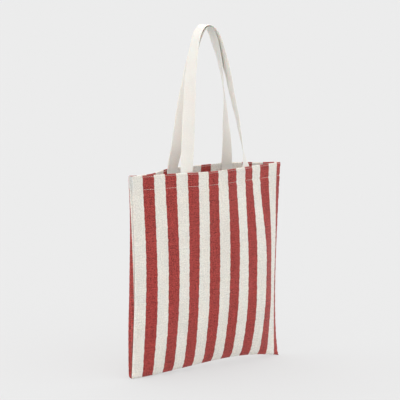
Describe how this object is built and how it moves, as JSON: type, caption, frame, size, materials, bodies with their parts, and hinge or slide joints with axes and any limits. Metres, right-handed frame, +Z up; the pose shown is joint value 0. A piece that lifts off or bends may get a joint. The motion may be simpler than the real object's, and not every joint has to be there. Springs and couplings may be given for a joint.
{
  "type": "tote bag",
  "caption": "Flat canvas tote bag in wide vertical stripes, hemmed at the mouth, with long webbing handles that fold down outwards.",
  "frame": {"origin": "the hanging point: the underside of the inner handle at the top of its arch, where a hook or a hand bears, in the middle of the bag's width and depth", "axes": "+Z up, -Y towards the front panel, +X to the right seen from the front; the bag's width is along X and its mouth faces +Z"},
  "size_m": [0.38, 0.0664, 0.6854],
  "materials": {
    "striped_canvas": "matt woven cotton in brick red and natural stripes",
    "seam_edges": "raw canvas edges bound with overlock thread",
    "thread": "natural cotton sewing thread",
    "webbing": "matt twill-woven cotton tape, undyed"
  },
  "bodies": {
    "bag": {"front_panel": "striped_canvas", "back_panel": "striped_canvas", "left_side_seam": "seam_edges", "right_side_seam": "seam_edges", "bottom_seam": "seam_edges", "front_hem_stitching": "thread", "back_hem_stitching": "thread", "front_handle_left_end": "webbing", "front_handle_right_end": "webbing", "back_handle_left_end": "webbing", "back_handle_right_end": "webbing"},
    "front_handle": {"front_handle_loop": "webbing"},
    "back_handle": {"back_handle_loop": "webbing"}
  },
  "joints": [
    {"name": "front_handle_swing", "type": "hinge", "parent": "bag", "child": "front_handle", "pos_m": [0, -0.02797, -0.276], "axis": [1, 0, 0], "range_deg": [0, 155]},
    {"name": "back_handle_swing", "type": "hinge", "parent": "bag", "child": "back_handle", "pos_m": [0, 0.02858, -0.276], "axis": [-1, 0, 0], "range_deg": [0, 155]}
  ]
}
